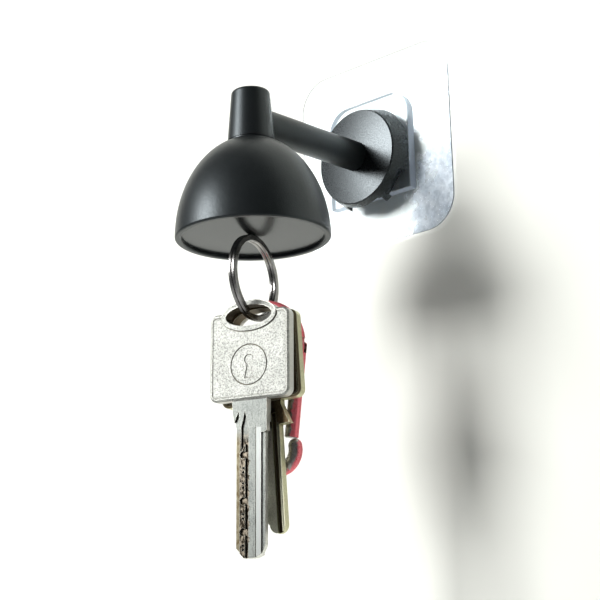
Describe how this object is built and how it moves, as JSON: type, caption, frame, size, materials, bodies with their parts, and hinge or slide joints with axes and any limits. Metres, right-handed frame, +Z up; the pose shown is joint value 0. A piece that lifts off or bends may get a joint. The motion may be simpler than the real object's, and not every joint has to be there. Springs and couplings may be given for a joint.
{
  "type": "magnetic key holder",
  "caption": "Wall-mounted magnetic key holder shaped like a small lamp on an adhesive pad, holding a split ring with keys and a snap clip.",
  "frame": {"origin": "centre of the adhesive pad's face on the wall", "axes": "+X along the wall to the right as one faces it, +Y into the wall, +Z up"},
  "size_m": [0.06, 0.0765, 0.1587],
  "materials": {
    "gel": "clear, slightly cloudy sticky gel",
    "film": "clear glossy film",
    "clear_plastic": "clear glossy moulding",
    "black_plastic": "satin charcoal, fine moulded texture",
    "plate_plastic": "glossy dark grey",
    "zinc_steel": "zinc plated",
    "magnet_nickel": "nickel plated, bright",
    "ring_steel": "polished spring steel",
    "key_plate": "nickel plated, sandblasted face with polished edges",
    "key_brass": "worn, slightly dull brass",
    "clip_red": "red anodised, worn to grey at the hook"
  },
  "bodies": {
    "wall_mount": {"adhesive_gel": "gel", "adhesive_film": "film", "clear_dock": "clear_plastic"},
    "lamp": {"base_shell": "black_plastic", "rail_plate": "black_plastic", "rail_plate_screws": "zinc_steel", "arm_tube": "black_plastic", "arm_screw": "zinc_steel", "neck_socket": "black_plastic", "crown_screw": "zinc_steel", "shade_shell": "black_plastic", "mouth_plate": "plate_plastic", "magnet_cup": "zinc_steel", "disc_magnet": "magnet_nickel"},
    "ring": {"split_ring": "ring_steel"},
    "key_a": {"plated_key": "key_plate"},
    "key_b": {"brass_key": "key_brass"},
    "clip": {"clip_body": "clip_red"},
    "gate": {"clip_gate": "clip_red", "gate_pin": "ring_steel", "gate_plunger": "ring_steel", "gate_spring": "ring_steel"}
  },
  "joints": [
    {"name": "lamp_lift", "type": "slide", "parent": "wall_mount", "child": "lamp", "axis": [0, 0, 1], "range_m": [0, 0.032]},
    {"name": "ring_pull", "type": "slide", "parent": "lamp", "child": "ring", "axis": [0, 0, -1], "range_m": [0, 0.03]},
    {"name": "plated_key_swing", "type": "hinge", "parent": "ring", "child": "key_a", "pos_m": [0.00083, -0.05759, -0.06169], "axis": [0.2588, -0.9659, 0], "range_deg": [-20, 20]},
    {"name": "brass_key_swing", "type": "hinge", "parent": "ring", "child": "key_b", "pos_m": [-0.00023, -0.05363, -0.06211], "axis": [0.2588, -0.9659, 0], "range_deg": [-25, 15]},
    {"name": "clip_swing", "type": "hinge", "parent": "ring", "child": "clip", "pos_m": [-0.00127, -0.04977, -0.06104], "axis": [0.2588, -0.9659, 0], "range_deg": [-20, 20]},
    {"name": "gate_open", "type": "hinge", "parent": "clip", "child": "gate", "pos_m": [0.00965, -0.04684, -0.07119], "axis": [-0.2588, 0.9659, 0], "range_deg": [0, 16], "stiffness_Nm_per_rad": 0.003, "springref_deg": -34.38}
  ]
}
